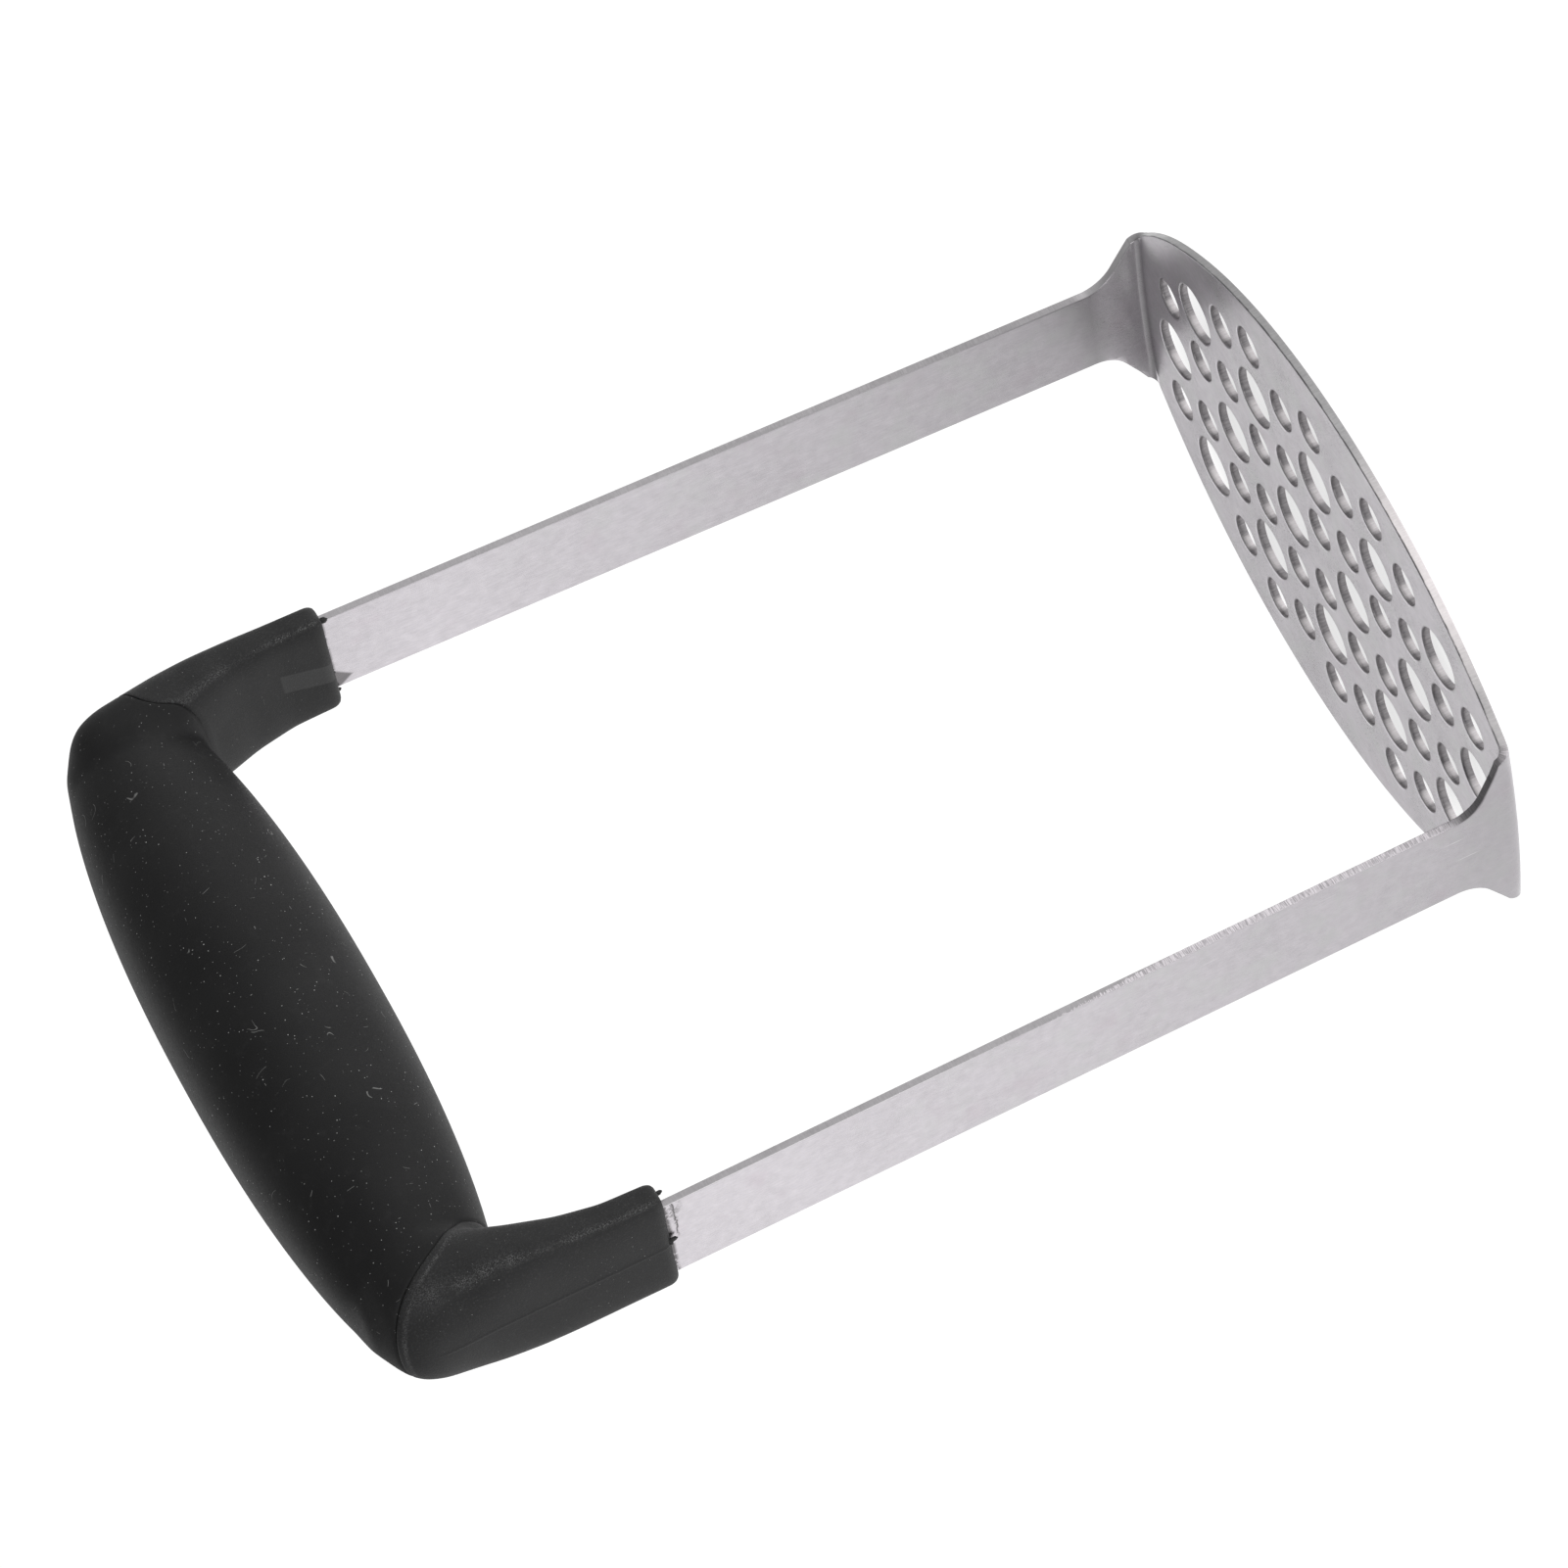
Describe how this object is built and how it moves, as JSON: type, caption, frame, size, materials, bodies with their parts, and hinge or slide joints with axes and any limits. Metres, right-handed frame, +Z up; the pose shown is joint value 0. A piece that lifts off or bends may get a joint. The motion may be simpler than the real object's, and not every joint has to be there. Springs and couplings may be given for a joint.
{
  "type": "potato masher",
  "caption": "Hand potato masher: a perforated steel plate on two flat arms, moulded into a horizontal handle with a soft grip, pressed straight down on cooked food.",
  "frame": {"origin": "centre of the mashing plate's underside, where the masher stands on a table", "axes": "+Z up from the plate to the handle, X along the handle from arm to arm, Y across the plate"},
  "size_m": [0.1186, 0.0756, 0.1741],
  "materials": {
    "stainless_sheet": "satin rolled sheet with bright sheared edges",
    "rigid_plastic": "fine matt moulded plastic",
    "soft_rubber": "soft-touch thermoplastic rubber, matt"
  },
  "bodies": {
    "root": {"mashing_blade": "stainless_sheet", "handle_core": "rigid_plastic", "soft_grip": "soft_rubber"}
  },
  "joints": []
}
